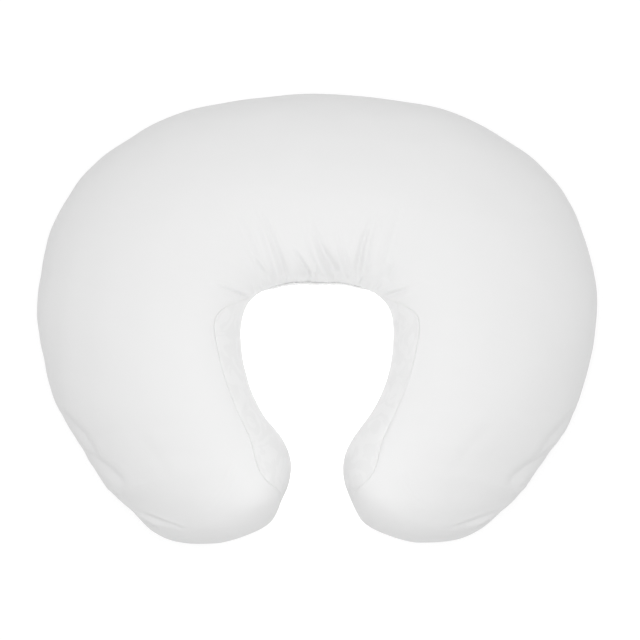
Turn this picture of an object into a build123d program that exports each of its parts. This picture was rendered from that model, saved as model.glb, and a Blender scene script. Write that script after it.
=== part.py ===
from build123d import *
import math
import os

# ---------------------------------------------------------------------------
# C-shaped nursing pillow: a stuffed inner pillow inside a zipped slipcover.
# Millimetres. +Z up, the pillow lies flat on z = 0. +Y points at the closed
# back of the C, -Y at the mouth between the arm tips, and +X at the arm that
# carries the zipper. The origin is the bottom centre of the bounding box.
# ---------------------------------------------------------------------------

# Driving dimensions of the stuffed shape
HALF_DEPTH = 217.0
CROWN_RISE = 74.0        # widest line up to the crown
KEEL_DROP = 72.0         # widest line down to the keel, before the floor flattens it
BELT_SHARE = 0.917       # height of the widest line, as a share of the keel drop
FULL_HALF_WIDTH = 88.0   # a section this wide or wider has its full height
TAPER_POWER = 1.9        # how a narrower section loses height
BELT_Z = BELT_SHARE * KEEL_DROP

# The round lower outer side of each arm
ARM_CENTRE = (-13.0, 22.0)
ARM_RADIUS = 283.5
ARM_END_ANGLE = -51.0

TIP = (62.0, -206.5)         # the end of the arm, where both outlines meet
TIP_AXIS = (-0.44, -0.90)    # the way the arm points at its end

# Layers, as insets from the outer surface: (towards the sides, up and down)
COVER_OUT = (0.0, 0.0)
COVER_IN = (0.8, 0.8)
CASING_OUT = (6.5, 4.8)
CASING_IN = (7.3, 5.6)
FILL_OUT = (9.5, 7.8)
TIP_WALL = 0.8           # patch of fabric that closes each layer at the arm tips
TIP_GAP = 0.1

# Rib stations from the back to the tip: (share of the outer outline, share of
# the inner outline, angle of the inner seam up the section, rise of the keel)
RIBS = [
    (0.0, 0.0, 0, 0), (0.10, 0.062, 0, 0), (0.20, 0.13, 2, 0), (0.30, 0.19, 8, 0),
    (0.40, 0.235, 25, 0), (0.48, 0.285, 40, 0), (0.55, 0.355, 39, 0), (0.62, 0.455, 37, 0),
    (0.69, 0.55, 38, 0), (0.755, 0.65, 44, 0), (0.81, 0.735, 50, 0), (0.86, 0.795, 40, 0.3),
    (0.91, 0.85, 20, 1.8), (0.95, 0.91, 5, 6), (0.98, 0.96, 0, 13), (0.991, 0.982, 0, 17),
]
INNER_END = (0.94, 0.895, 8, 4.8)   # the layers inside stop short of the tips

# Seams. The cover's two panels meet low on the outer side, and on the arms'
# inner side high up, where the seam has rolled over the top.
SEAM_Z = 42.0            # height of the cover's outer seam
SEAM_GAP = 0.35          # left open on each side of a seam
FLOOR_TRIM = 0.5         # the keel is lofted this far under the floor, then cut

# Zipper along the outer seam of the +X arm. It curves about the arm arc's
# upright axis and follows the round of the section, so its parts are solids of
# revolution: g runs up the surface from the seam and n outward from it.
ZIP_RADIUS = 278.2
ZIP_LEAN = 22.5          # degrees the surface leans under at the seam
ZIP_ROUND = 61.0         # radius of the section's round there
ZIP_TOP = -3.6           # angle of the chain's closed end
ZIP_BOTTOM = -44.2       # angle of its open end
TAPE_EXTRA = 1.6         # degrees of tape past each end
TAPE_G = (0.8, 11.0)
TAPE_N = (-2.2, -1.6)
COIL_G = (0.6, 3.2)
COIL_N = (-1.55, 0.5)
SLOT_HALF = 4.2
STOP_LENGTH = 0.5        # degrees

# Slider, in its own frame: x along the chain, y up the surface, z outward
SLIDER_ANGLE = -5.2
SLIDER_LENGTH = 9.0
SLIDER_WIDTH = 7.6
OUTER_WING = (0.8, 1.8)
INNER_WING = (-3.5, -2.6)
BAIL_TOP = 4.8
TAB_PIN_Z = 2.9
TAB_THICK = 0.8
TAB_REACH = 24.0

# Gathered inner edge at the back
WELT_REACH = 0.19        # share of the inner outline, each side of the middle
WELT_TOP = 1.5           # above the widest line
ELASTIC_REACH = 0.15
STITCH_PITCH = 3.0
STITCH_COUNT = 18        # each side of the middle one


# --------------------------------------------------------------- outlines --
def arm_point(angle):
    a = math.radians(angle)
    return (
        ARM_CENTRE[0] + ARM_RADIUS * math.cos(a),
        ARM_CENTRE[1] + ARM_RADIUS * math.sin(a),
    )


def outer_outline():
    """Right half of the outside edge, from the middle of the back to the tip."""
    shoulder = Spline(
        [
            (0, HALF_DEPTH), (96.6, 209.1), (142.7, 196.4), (188.5, 170.3),
            (233.5, 131.3), (263.5, 72.7), arm_point(0),
        ],
        tangents=[(1, 0), (0, -1)],
    )
    side = ThreePointArc(arm_point(0), arm_point(ARM_END_ANGLE / 2), arm_point(ARM_END_ANGLE))
    toe = Spline(
        [arm_point(ARM_END_ANGLE), (109, -HALF_DEPTH), TIP],
        tangents=[side % 1, (-0.9, 0.45)],
    )
    return Wire([shoulder, side, toe])


def inner_outline():
    """Right half of the waist opening's edge, from the middle of the back to the tip."""
    edge = Spline(
        [
            (0, 35.4), (44, 31), (66.5, 15), (74.5, -14), (69.5, -53),
            (52, -92.5), (28, -129), (25.5, -150), (36.5, -182), TIP,
        ],
        tangents=[(1, 0), (0.9, -0.45)],
    )
    return Wire([edge])


OUTER = outer_outline()
INNER = inner_outline()


# ------------------------------------------------------------------- ribs --
class Rib:
    """One upright cross section, from its outer end to its inner end."""

    def __init__(self, share_out, share_in, seam_angle, lift, side=1):
        start, end = OUTER @ share_out, INNER @ share_in
        outer = Vector(side * start.X, start.Y)
        inner = Vector(side * end.X, end.Y)
        taper = 1 - max(0.0, 1 - (outer - inner).length / 2 / FULL_HALF_WIDTH) ** TAPER_POWER
        self.middle = (outer + inner) / 2
        self.half = (outer - inner).length / 2
        self.across = (outer - inner).normalized()
        self.rise = CROWN_RISE * taper
        self.drop = KEEL_DROP * taper
        self.belt = BELT_SHARE * self.drop + lift
        self.lift = lift
        down = max(self.belt - SEAM_Z, 0) / self.drop
        self.outer_seam = -math.degrees(math.asin(down))
        self.inner_seam = 180 - seam_angle
        self.gap = math.degrees(SEAM_GAP / min(self.half, self.drop))

    def at(self, angle, inset):
        """Point at an angle round the section: 0 outside, 90 crown, 180 inside."""
        side, up = inset
        a = math.radians(angle)
        tall = self.rise if math.sin(a) > 0 else self.drop
        spot = self.middle + self.across * ((self.half - side) * math.cos(a))
        return Vector(spot.X, spot.Y, self.belt + (tall - up) * math.sin(a))

    def flat_angle(self, inset):
        """How far below the widest line the section meets the floor."""
        up = inset[1]
        return math.degrees(math.asin((self.belt - self.lift + FLOOR_TRIM - up) / (self.drop - up)))

    def curve(self, start, end, inset, steps):
        angles = [start + (end - start) * i / steps for i in range(steps + 1)]
        return Edge.make_spline(
            [self.at(a, inset) for a in angles],
            parameters=[i / steps for i in range(steps + 1)],
        )

    def top_edges(self, start, end, inset):
        return [self.curve(start, end, inset, 6)]

    def bottom_edges(self, start, end, inset):
        """From the inner side down, along the flat underside, and up outside."""
        flat = self.flat_angle(inset)
        inside = self.curve(start, 180 + flat, inset, 4)
        outside = self.curve(360 - flat, end, inset, 4)
        return [inside, Edge.make_line(inside @ 1, outside @ 0), outside]

    def full_wire(self, inset):
        return Wire(self.top_edges(0, 180, inset) + self.bottom_edges(180, 360, inset))

    def panel_wire(self, edges_of, start, end, outside, within):
        """Closed strip between two layers of the section."""
        far, near = edges_of(start, end, outside), edges_of(start, end, within)
        turn = Edge.make_line(far[-1] @ 1, near[-1] @ 1)
        close = Edge.make_line(near[0] @ 0, far[0] @ 0)
        return Wire([*far, turn, *[edge.reversed() for edge in reversed(near)], close])


def all_ribs(stations):
    """Every rib, from the left tip round the back to the right tip."""
    left = [Rib(*station, side=-1) for station in reversed(stations[1:])]
    return left + [Rib(*station) for station in stations]


COVER_RIBS = all_ribs(RIBS)
INNER_RIBS = all_ribs(RIBS[:-3] + [INNER_END])


# ------------------------------------------------------- stuffed layers ---
def tip_wall(rib, side, edges):
    """Patch that closes one panel at an arm's tip."""
    close = Edge.make_line(edges[-1] @ 1, edges[0] @ 0)
    way = Vector(side * TIP_AXIS[0], TIP_AXIS[1], 0)
    patch = Solid.extrude(Face(Wire([*edges, close])), way * TIP_WALL)
    return patch.moved(Location(way * TIP_GAP))


class Panel:
    """Fabric shell between two layers, over one span of every section."""

    def __init__(self, ribs, outside, within, spans, edges_of):
        spans = [(start + rib.gap, end - rib.gap) for rib, (start, end) in zip(ribs, spans)]
        edges = [getattr(rib, edges_of) for rib in ribs]
        wires = [
            rib.panel_wire(draw, *span, outside, within)
            for rib, draw, span in zip(ribs, edges, spans)
        ]
        self.shell = Solid.make_loft(wires)
        self.walls = [
            tip_wall(ribs[i], side, edges[i](*spans[i], outside)) for i, side in ((0, -1), (-1, 1))
        ]

    def solids(self, *cuts):
        shell = self.shell
        for cut in cuts:
            shell = shell - cut
        return Compound(children=[shell, *self.walls])


def top_panel(ribs, outside, within, seams):
    return Panel(ribs, outside, within, [seams(rib) for rib in ribs], "top_edges")


def bottom_panel(ribs, outside, within, seams):
    spans = [(end, start + 360) for start, end in map(seams, ribs)]
    return Panel(ribs, outside, within, spans, "bottom_edges")


def cover_seams(rib):
    return rib.outer_seam, rib.inner_seam


def casing_seams(rib):
    return 0, 180


# ----------------------------------------------------------------- zipper --
def zip_point(g, n):
    lean, turn = math.radians(ZIP_LEAN), g / ZIP_ROUND
    centre_r = ZIP_RADIUS - ZIP_ROUND * math.cos(lean)
    centre_z = SEAM_Z + ZIP_ROUND * math.sin(lean)
    reach = ZIP_ROUND + n
    return Vector(
        centre_r + reach * math.cos(lean - turn), 0, centre_z - reach * math.sin(lean - turn)
    )


def zip_ring(g, n, start, end):
    """Strip swept along the seam, from g[0] to g[1] up it and n[0] to n[1] out."""
    middle = (g[0] + g[1]) / 2
    near = Edge.make_three_point_arc(*[zip_point(a, n[0]) for a in (g[0], middle, g[1])])
    far = Edge.make_three_point_arc(*[zip_point(a, n[1]) for a in (g[1], middle, g[0])])
    turn = Edge.make_line(near @ 1, far @ 0)
    close = Edge.make_line(far @ 1, near @ 0)
    face = Face(Wire([near, turn, far, close]))
    ring = revolve(face, axis=Axis.Z, revolution_arc=abs(end - start))
    ring = ring.rotate(Axis.Z, min(start, end))
    return ring.moved(Location((*ARM_CENTRE, 0)))


def mirrored_g(g):
    return -g[1], -g[0]


def zipper_slot():
    return zip_ring((-SLOT_HALF, SLOT_HALF), (-4.0, 5.0), ZIP_TOP + 1, ZIP_BOTTOM - 1)


def zipper_parts():
    tape_ends = ZIP_TOP + TAPE_EXTRA, ZIP_BOTTOM - TAPE_EXTRA
    coil_ends = ZIP_TOP - STOP_LENGTH, ZIP_BOTTOM + STOP_LENGTH
    stop_g, stop_n = (COIL_G[0], COIL_G[1] + 0.2), (COIL_N[0], COIL_N[1] + 0.25)
    top_stops = [
        zip_ring(g, stop_n, ZIP_TOP, ZIP_TOP - STOP_LENGTH + 0.05)
        for g in (stop_g, mirrored_g(stop_g))
    ]
    return {
        "zipper_tape_upper": zip_ring(TAPE_G, TAPE_N, *tape_ends),
        "zipper_tape_lower": zip_ring(mirrored_g(TAPE_G), TAPE_N, *tape_ends),
        "zipper_coil_upper": zip_ring(COIL_G, COIL_N, *coil_ends),
        "zipper_coil_lower": zip_ring(mirrored_g(COIL_G), COIL_N, *coil_ends),
        "zipper_top_stops": Compound(children=top_stops),
        "zipper_bottom_stop": zip_ring(
            (-stop_g[1], stop_g[1]), stop_n, ZIP_BOTTOM + STOP_LENGTH - 0.05, ZIP_BOTTOM
        ),
    }


def seam_frame(angle):
    """Frame on the seam: x along it towards the back, y up the surface, z out."""
    a, lean = math.radians(angle), math.radians(ZIP_LEAN)
    radial = Vector(math.cos(a), math.sin(a), 0)
    outward = radial * math.cos(lean) - Vector(0, 0, math.sin(lean))
    origin = Vector(*ARM_CENTRE, SEAM_Z) + radial * ZIP_RADIUS
    return Plane(origin=origin, x_dir=Vector(-math.sin(a), math.cos(a), 0), z_dir=outward)


def block(x, y, z):
    """Box from three (low, high) spans."""
    size = [high - low for low, high in (x, y, z)]
    middle = [(high + low) / 2 for low, high in (x, y, z)]
    return Pos(*middle) * Box(*size)


def slider_parts():
    """Slider body, its bail bridge, its lock pin and the pull tab, in the seam frame."""
    half, wide = SLIDER_LENGTH / 2, SLIDER_WIDTH / 2
    outer_wing = block((-half, half), (-wide, wide), OUTER_WING)
    outer_wing = fillet(outer_wing.edges().filter_by(Axis.Z), 1.6)
    inner_wing = block((-half, half), (-wide, wide), INNER_WING)
    inner_wing = fillet(inner_wing.edges().filter_by(Axis.Z), 1.6)
    post = block((2.2, 3.8), (-0.4, 0.4), (INNER_WING[1], OUTER_WING[0]))
    pin_hole = block((-1.1, -0.3), (-0.35, 0.35), (OUTER_WING[0] - 1, OUTER_WING[1] + 1))
    body = outer_wing - pin_hole + inner_wing + post

    legs = [block(x, (-0.8, 0.8), (OUTER_WING[1], BAIL_TOP)) for x in ((-3.2, -2.4), (2.4, 3.2))]
    bail = block((-3.2, 3.2), (-0.8, 0.8), (BAIL_TOP - 0.8, BAIL_TOP)) + legs

    lock_pin = block((-1.0, -0.4), (-0.25, 0.25), (0.6, OUTER_WING[1] + 0.15))

    tab_z = (TAB_PIN_Z - TAB_THICK / 2, TAB_PIN_Z + TAB_THICK / 2)
    cross_bar = Pos(0, 0, TAB_PIN_Z) * Rot(90, 0, 0) * Cylinder(0.55, 3.8)
    arms = [block((-7.0, 0.3), y, tab_z) for y in ((1.3, 2.1), (-2.1, -1.3))]
    plate = block((-TAB_REACH, -6.0), (-4.0, 4.0), tab_z)
    plate = fillet(plate.edges().filter_by(Axis.Z), 1.8)
    grip_slot = block((-TAB_REACH + 3.0, -15.0), (-2.0, 2.0), (0, 6))
    tab = plate - grip_slot + arms + cross_bar

    frame = seam_frame(SLIDER_ANGLE).location
    return {
        "slider_body": frame * body,
        "slider_bail": frame * bail,
        "slider_lock_pin": frame * lock_pin,
        "pull_tab": frame * tab,
    }


# ------------------------------------------------------- edge and labels ---
def edge_spot(share, off):
    """Point on the inner outline, moved off it towards the waist opening."""
    spot, way = INNER @ abs(share), INNER % abs(share)
    side = -1 if share < 0 else 1
    return Vector(side * (spot.X + way.Y * off), spot.Y - way.X * off, 0)


def edge_strip(reach, off, z):
    """Strip along the gathered inner edge, off[0] to off[1] out of the outline."""
    wires = []
    for i in range(-6, 7):
        near, far = (edge_spot(reach * i / 6, o) for o in off)
        corners = [(near, z[0]), (far, z[0]), (far, z[1]), (near, z[1])]
        wires.append(Wire.make_polygon([Vector(p.X, p.Y, h) for p, h in corners], close=True))
    return Solid.make_loft(wires)


def welt_stitches(top):
    """A row of short stitches lying on top of the welt."""
    stitches = []
    for i in range(-STITCH_COUNT, STITCH_COUNT + 1):
        share = i * STITCH_PITCH / INNER.length
        spot, way = edge_spot(share, 1.2), INNER % abs(share)
        turn = math.degrees(math.atan2(way.Y, way.X)) * (-1 if i < 0 else 1)
        stitches.append(Pos(spot.X, spot.Y, top + 0.2) * Rot(0, 0, turn) * Box(2.0, 0.4, 0.3))
    return Compound(children=stitches)


def label(start, end, n):
    """Blank fabric tag inside the cover of the -X arm, curved with the seam."""
    tag = zip_ring((-12.0, 12.0), n, start, end)
    return mirror(tag, about=Plane.YZ)


# ---------------------------------------------------------------- the part --
def soft_parts():
    slot = zipper_slot()
    under_floor = Pos(0, 0, -20) * Box(2 * ARM_RADIUS, 2 * ARM_RADIUS, 40)
    cover_top = top_panel(COVER_RIBS, COVER_OUT, COVER_IN, cover_seams)
    cover_bottom = bottom_panel(COVER_RIBS, COVER_OUT, COVER_IN, cover_seams)
    casing_top = top_panel(INNER_RIBS, CASING_OUT, CASING_IN, casing_seams)
    casing_bottom = bottom_panel(INNER_RIBS, CASING_OUT, CASING_IN, casing_seams)
    return {
        "cover_top_panel": cover_top.solids(slot),
        "cover_bottom_panel": cover_bottom.solids(under_floor, slot),
        "inner_edge_welt": edge_strip(WELT_REACH, (0.3, 2.4), (BELT_Z - 2.5, BELT_Z + WELT_TOP)),
        "gather_elastic": edge_strip(ELASTIC_REACH, (-2.6, -1.8), (BELT_Z - 4, BELT_Z + 4)),
        "welt_topstitch": welt_stitches(BELT_Z + WELT_TOP),
        "casing_top_panel": casing_top.solids(),
        "casing_bottom_panel": casing_bottom.solids(),
        "fiber_fill": Solid.make_loft([rib.full_wire(FILL_OUT) for rib in INNER_RIBS]),
        "cover_care_label": label(-20, -26, (-2.0, -1.7)),
        "casing_law_label": label(-30, -38, (-3.3, -3.0)),
    }


def main():
    os.makedirs("parts", exist_ok=True)
    nodes = {**soft_parts(), **zipper_parts(), **slider_parts()}
    for name, solid in nodes.items():
        export_step(solid, f"parts/{name}.step")


main()
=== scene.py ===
import math

import bpy
import numpy as np
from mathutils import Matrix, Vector


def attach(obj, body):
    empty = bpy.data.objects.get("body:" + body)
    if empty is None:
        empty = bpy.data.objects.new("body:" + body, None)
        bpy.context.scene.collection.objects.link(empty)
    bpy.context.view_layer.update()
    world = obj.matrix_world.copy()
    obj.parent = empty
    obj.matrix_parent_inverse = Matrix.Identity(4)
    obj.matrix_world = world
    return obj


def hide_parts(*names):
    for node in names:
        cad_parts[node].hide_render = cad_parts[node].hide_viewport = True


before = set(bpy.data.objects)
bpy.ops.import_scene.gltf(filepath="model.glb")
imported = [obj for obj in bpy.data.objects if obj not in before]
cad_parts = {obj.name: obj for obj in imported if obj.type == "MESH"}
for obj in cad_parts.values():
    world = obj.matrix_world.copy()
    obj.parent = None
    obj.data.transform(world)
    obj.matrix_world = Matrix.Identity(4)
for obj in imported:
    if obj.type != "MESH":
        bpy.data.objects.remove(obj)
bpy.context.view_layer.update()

# ---------------------------------------------------------------------------
# A C-shaped nursing pillow in a white cotton slipcover. +Z is up, +Y the
# closed back of the C, -Y the mouth between the arm tips, and +X the arm with
# the zipper. The stuffed shape repeats the CAD model's own outlines and cross
# sections, and the cloth's folds, seams and hem are added to it. Lengths are
# in millimetres up to build_mesh, which writes metres. Materials, bevels,
# lights, floor and camera are in metres.
# ---------------------------------------------------------------------------

MM = 0.001
RNG = np.random.default_rng(7)

# The stuffed shape, as in the CAD model
CROWN_RISE = 74.0        # from the belt, the widest level, up to the crown
KEEL_DROP = 72.0         # from the belt down to the keel, before the floor flattens it
BELT_SHARE = 0.917       # height of the belt, as a share of that drop
FULL_HALF_WIDTH = 88.0   # a narrower section is lower too
TAPER_POWER = 1.9        # how suddenly it gets lower
ARM_CENTRE = np.array([-13.0, 22.0])  # centre of the arc along the arm's outer side
ARM_RADIUS = 283.5
ARM_ANGLES = (0, -12.75, -25.5, -38.25, -51)
TIP = (62.0, -206.5)
BACK_OUTLINE = [(0, 217), (96.6, 209.1), (142.7, 196.4), (188.5, 170.3), (233.5, 131.3), (263.5, 72.7)]
TOE_OUTLINE = [(138, -214), (109, -217), (84, -214.2)]
INNER_OUTLINE = [
    (0, 35.4), (44, 31), (66.5, 15), (74.5, -14), (69.5, -53), (52, -92.5),
    (28, -129), (25.5, -150), (36.5, -182), (47.5, -198.5),
]

# Stations from the back to the tip: (share of the outer outline, share of the
# inner outline, angle of the inner seam up the section, rise of the keel)
RIBS = np.array([
    (0.0, 0.0, 0, 0), (0.10, 0.062, 0, 0), (0.20, 0.13, 2, 0), (0.30, 0.19, 8, 0),
    (0.40, 0.235, 25, 0), (0.48, 0.285, 40, 0), (0.55, 0.355, 39, 0), (0.62, 0.455, 37, 0),
    (0.69, 0.55, 38, 0), (0.755, 0.65, 44, 0), (0.81, 0.735, 50, 0), (0.86, 0.795, 40, 0.3),
    (0.91, 0.85, 20, 1.8), (0.95, 0.91, 5, 6), (0.98, 0.96, 0, 13), (1.0, 1.0, 0, 21),
])
SEAM_Z = 42.0            # height of the outer seam
SHARE_SLACK = 0.02       # how far the smoothed inner share may leave the straight one
SEAM_LOWEST = 0.6        # sine of the lowest place that the outer seam reaches on a section
INNER_SEAM_TOP = 60      # highest angle of the inner seam
FLOOR_ROUND = 5.0        # how softly the side turns into the flattened keel
FLOOR_PRESS = 0.18       # share of that rounding pressed out at the floor
FLOOR_FADE = 14.0        # height over which it is pressed out
KEEL_GAP = 0.4           # lowest level of the stuffed shape

# Zipper frame: g runs up the surface from the seam and n outward from it
ZIP_RADIUS = 278.2       # of the chain's middle, about the arm's centre
ZIP_LEAN = math.radians(22.5)
ZIP_ROUND = 61.0         # radius of the surface across the chain
ZIP_TOP = -3.6           # angles of the chain's closed end and open end, in degrees
ZIP_BOTTOM = -44.2


# ------------------------------------------------------------------ curves --
def natural_spline(knots, values, at):
    """Natural cubic spline through values at knots, read at other places."""
    knots, values, at = (np.asarray(a, float) for a in (knots, values, at))
    values = values.reshape(len(knots), -1)
    step = np.diff(knots)
    n = len(knots)
    matrix, right = np.eye(n), np.zeros((n, values.shape[1]))
    for i in range(1, n - 1):
        matrix[i, i - 1:i + 2] = step[i - 1], 2 * (step[i - 1] + step[i]), step[i]
        slope = (values[i + 1] - values[i]) / step[i] - (values[i] - values[i - 1]) / step[i - 1]
        right[i] = 6 * slope
    bend = np.linalg.solve(matrix, right)
    i = np.clip(np.searchsorted(knots, at) - 1, 0, n - 2)
    h = step[i][:, None]
    a = (knots[i + 1] - at)[:, None] / h
    b = 1 - a
    cubic = ((a ** 3 - a) * bend[i] + (b ** 3 - b) * bend[i + 1]) * h ** 2 / 6
    return a * values[i] + b * values[i + 1] + cubic


class Outline:
    """Smooth curve through plan points, read by share of its length."""

    def __init__(self, points, start, end):
        points = np.array(points, float)
        chord = np.r_[0, np.cumsum(np.linalg.norm(np.diff(points, axis=0), axis=1))]
        fine = np.linspace(chord[start], chord[end], 4001)
        self.fine = natural_spline(chord, points, fine)
        run = np.r_[0, np.cumsum(np.linalg.norm(np.diff(self.fine, axis=0), axis=1))]
        self.length = run[-1]
        self.share = run / run[-1]

    def at(self, share):
        return np.stack([np.interp(share, self.share, self.fine[:, k]) for k in (0, 1)], -1)


def mirrored(point):
    return -point[0], point[1]


def make_outlines():
    """Both edges of the right half, with points past their ends to keep them smooth."""
    angles = np.radians(ARM_ANGLES)
    arm = [tuple(ARM_CENTRE + ARM_RADIUS * np.array([math.cos(a), math.sin(a)])) for a in angles]
    outer = BACK_OUTLINE + arm + TOE_OUTLINE + [TIP]
    inner = INNER_OUTLINE + [TIP]
    outer_all = [mirrored(outer[1])] + outer + [inner[-2]]
    inner_all = [mirrored(inner[1])] + inner + [outer[-2]]
    return (
        Outline(outer_all, 1, len(outer_all) - 2),
        Outline(inner_all, 1, len(inner_all) - 2),
    )


OUTER, INNER = make_outlines()


# ---------------------------------------------------------------- sections --
class Sections:
    """Cross sections at signed stations from -1, the left tip, to 1, the right tip."""

    def __init__(self, stations):
        side = np.where(stations < 0, -1.0, 1.0)
        reach = np.abs(stations)
        inner_share = np.interp(reach, RIBS[:, 0], RIBS[:, 1])
        smooth = natural_spline(RIBS[:, 0], RIBS[:, 1:], reach)
        highest = np.minimum(inner_share + SHARE_SLACK, 1)
        inner_share = np.clip(smooth[:, 0], inner_share - SHARE_SLACK, highest)
        outer, inner = OUTER.at(reach), INNER.at(inner_share)
        outer[:, 0] *= side
        inner[:, 0] *= side
        self.outer, self.inner = outer, inner
        gap = np.linalg.norm(outer - inner, axis=1)
        self.half = np.maximum(gap / 2, 1e-3)
        self.middle = (outer + inner) / 2
        self.across = (outer - inner) / np.maximum(gap, 1e-6)[:, None]
        taper = 1 - np.maximum(0, 1 - self.half / FULL_HALF_WIDTH) ** TAPER_POWER
        self.rise = CROWN_RISE * taper
        self.drop = KEEL_DROP * taper
        self.lift = np.clip(smooth[:, 2], 0, None)
        self.belt = BELT_SHARE * self.drop + self.lift
        down = np.clip((self.belt - SEAM_Z) / np.maximum(self.drop, 1e-6), 0, SEAM_LOWEST)
        self.outer_seam = -np.degrees(np.arcsin(down))
        self.inner_seam = 180 - np.clip(smooth[:, 1], 0, INNER_SEAM_TOP)

    def points(self, angles):
        """Points at angles (one row per station), and the floor flattens the keel."""
        a = np.radians(angles)
        cos, sin = np.cos(a), np.sin(a)
        along = self.half[:, None] * cos
        tall = np.where(sin > 0, self.rise[:, None], self.drop[:, None])
        z = self.belt[:, None] + tall * sin
        pressed = FLOOR_ROUND * FLOOR_PRESS * np.exp(-(z / FLOOR_FADE) ** 2)
        z = 0.5 * (z + np.sqrt(z ** 2 + FLOOR_ROUND ** 2)) - pressed
        xy = self.middle[:, None] + self.across[:, None] * along[..., None]
        return np.concatenate([xy, np.maximum(z, KEEL_GAP)[..., None]], -1)


def stations(count):
    """Signed stations, a little closer together towards the tips."""
    t = np.linspace(-1, 1, count)
    reach = np.abs(t)
    return np.sign(t) * (0.8 * reach + 0.2 * (1 - (1 - reach) ** 2))


def grid_normals(points):
    along = np.gradient(points, axis=0)
    across = np.gradient(points, axis=1)
    normal = np.cross(across, along)
    size = np.linalg.norm(normal, axis=-1, keepdims=True)
    return normal / np.maximum(size, 1e-9)


# ------------------------------------------------------------------- folds --
def smoothstep(low, high, value):
    t = np.clip((value - low) / (high - low), 0, 1)
    return t * t * (3 - 2 * t)


class Fold:
    """A crease along a plan line: a valley, a ridge beside it and a lower one opposite.

    ridge is the ridge's height as a share of the depth, side is where it stands, and bow
    bends the line. With grow over 1 the crease widens and deepens towards its end.
    """

    RIDGE_PLACE, RIDGE_WIDTH = 1.5, 0.95
    OTHER_PLACE, OTHER_WIDTH, OTHER_SHARE = 1.7, 1.2, 0.35

    def __init__(self, start, end, depth, width, ridge=0.5, side=1, bow=0.0, grow=1.0):
        self.start, self.end = np.array(start, float), np.array(end, float)
        self.depth, self.width, self.ridge = depth, width, ridge
        self.side, self.bow, self.grow = side, bow, grow

    def mirrored(self, **changes):
        fold = Fold(mirrored(self.start), mirrored(self.end), self.depth, self.width,
                    self.ridge, -self.side, -self.bow, self.grow)
        for name, value in changes.items():
            setattr(fold, name, value)
        return fold

    def height(self, xy):
        """Height over the cloth at plan points. Distances across it count in widths."""
        way = self.end - self.start
        length = np.linalg.norm(way)
        way = way / length
        rel = xy - self.start
        t = rel @ way / length
        off = rel @ np.array([-way[1], way[0]]) - self.bow * np.sin(np.pi * np.clip(t, 0, 1))
        envelope = smoothstep(-0.15, 0.25 + 0.5 * (self.grow - 1), t)
        envelope = envelope * (1 - smoothstep(0.85, 1.12, t))
        deepen = np.clip(t, 0, 1) ** (self.grow - 1) if self.grow > 1 else 1.0
        width = self.width * (0.6 + 0.6 * np.clip(t, 0, 1)) if self.grow > 1 else self.width
        d = off / width
        valley = -np.exp(-np.abs(d) ** 1.5)
        ridge = self.ridge * np.exp(-((d - self.side * self.RIDGE_PLACE) / self.RIDGE_WIDTH) ** 2)
        other = np.exp(-((d + self.side * self.OTHER_PLACE) / self.OTHER_WIDTH) ** 2)
        return self.depth * envelope * deepen * (valley + ridge + self.OTHER_SHARE * self.ridge * other)


# The largest folds that run up from the gathered hem at the back
GATHER_FOLDS = [
    Fold((-58, 112), (-30, 39), 3.0, 3.6, 0.9, -1, 2, 1.7),
    Fold((-27, 72), (-7, 38), 4.8, 3.8, 0.5, 1, 1, 1.8),
    Fold((-8, 104), (19, 42), 5.8, 4.8, 0.8, -1, -3, 1.9),
    Fold((18, 92), (33, 42), 2.0, 3.2, 0.7, -1, -2, 1.8),
    Fold((57, 108), (39, 44), 3.4, 3.2, 0.9, 1, -3, 1.7),
    Fold((-82, 110), (-54, 44), 1.2, 3.8, 0.7, 1, 3, 1.6),
    Fold((-72, 68), (-50, 42), 1.1, 2.8, 0.7, 1, 1, 1.5),
    Fold((84, 116), (64, 46), 1.2, 4.2, 0.7, -1, -2, 1.5),
    Fold((74, 56), (65, 36), 2.4, 5.0, 0.3, -1, 0, 1.4),
    Fold((2, 66), (-2, 38), 1.3, 2.2, 0.6, -1, 0, 1.8),
]

# Creases that run off the corners of the waist opening
CORNER_FOLDS = [
    Fold((-114, 37), (-67, 20), 2.4, 2.6, 1.0, 1, 1, 2.2),
    Fold((106, 38), (66, 22), 2.4, 2.6, 1.0, -1, 1, 2.2),
]

# Creases on the lower outer side of each arm, where the cover is slack
LEFT_ARM_FOLDS = [
    Fold((-250, -84), (-212, -130), 2.5, 4.4, 0.45, -1, 2),
    Fold((-232, -124), (-184, -155), 3.0, 4.8, 0.45, -1, 1),
    Fold((-204, -164), (-190, -170), 1.5, 3.0, 0.9, 1, 0),
    Fold((-194, -176), (-154, -200), 3.2, 2.8, 0.7, 1, -1),
    Fold((-178, -181), (-142, -196), 1.5, 1.9, 0.8, -1, -1),
    Fold((-164, -186), (-128, -199), 1.3, 1.8, 0.8, 1, 0),
    Fold((-172, -108), (-140, -150), 0.6, 7.5, 0.4, 1, 2),
    Fold((-76, -136), (-104, -180), 0.5, 3.0, 0.5, -1, 3),
]
RIGHT_ARM_FOLDS = [
    LEFT_ARM_FOLDS[0].mirrored(depth=2.7, bow=-1),
    LEFT_ARM_FOLDS[1].mirrored(depth=3.2),
    LEFT_ARM_FOLDS[2].mirrored(depth=1.7),
    LEFT_ARM_FOLDS[3].mirrored(depth=3.4, width=3.0),
    LEFT_ARM_FOLDS[4].mirrored(depth=1.7),
    LEFT_ARM_FOLDS[5].mirrored(depth=1.0),
    Fold((168, -98), (132, -140), 0.7, 6.5, 0.4, -1, -2),
    Fold((78, -138), (100, -176), 0.45, 3.0, 0.5, 1, -3),
]


PLEAT_REACH = 62.0       # pleats lie this far along the edge to each side of the back's middle


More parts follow.
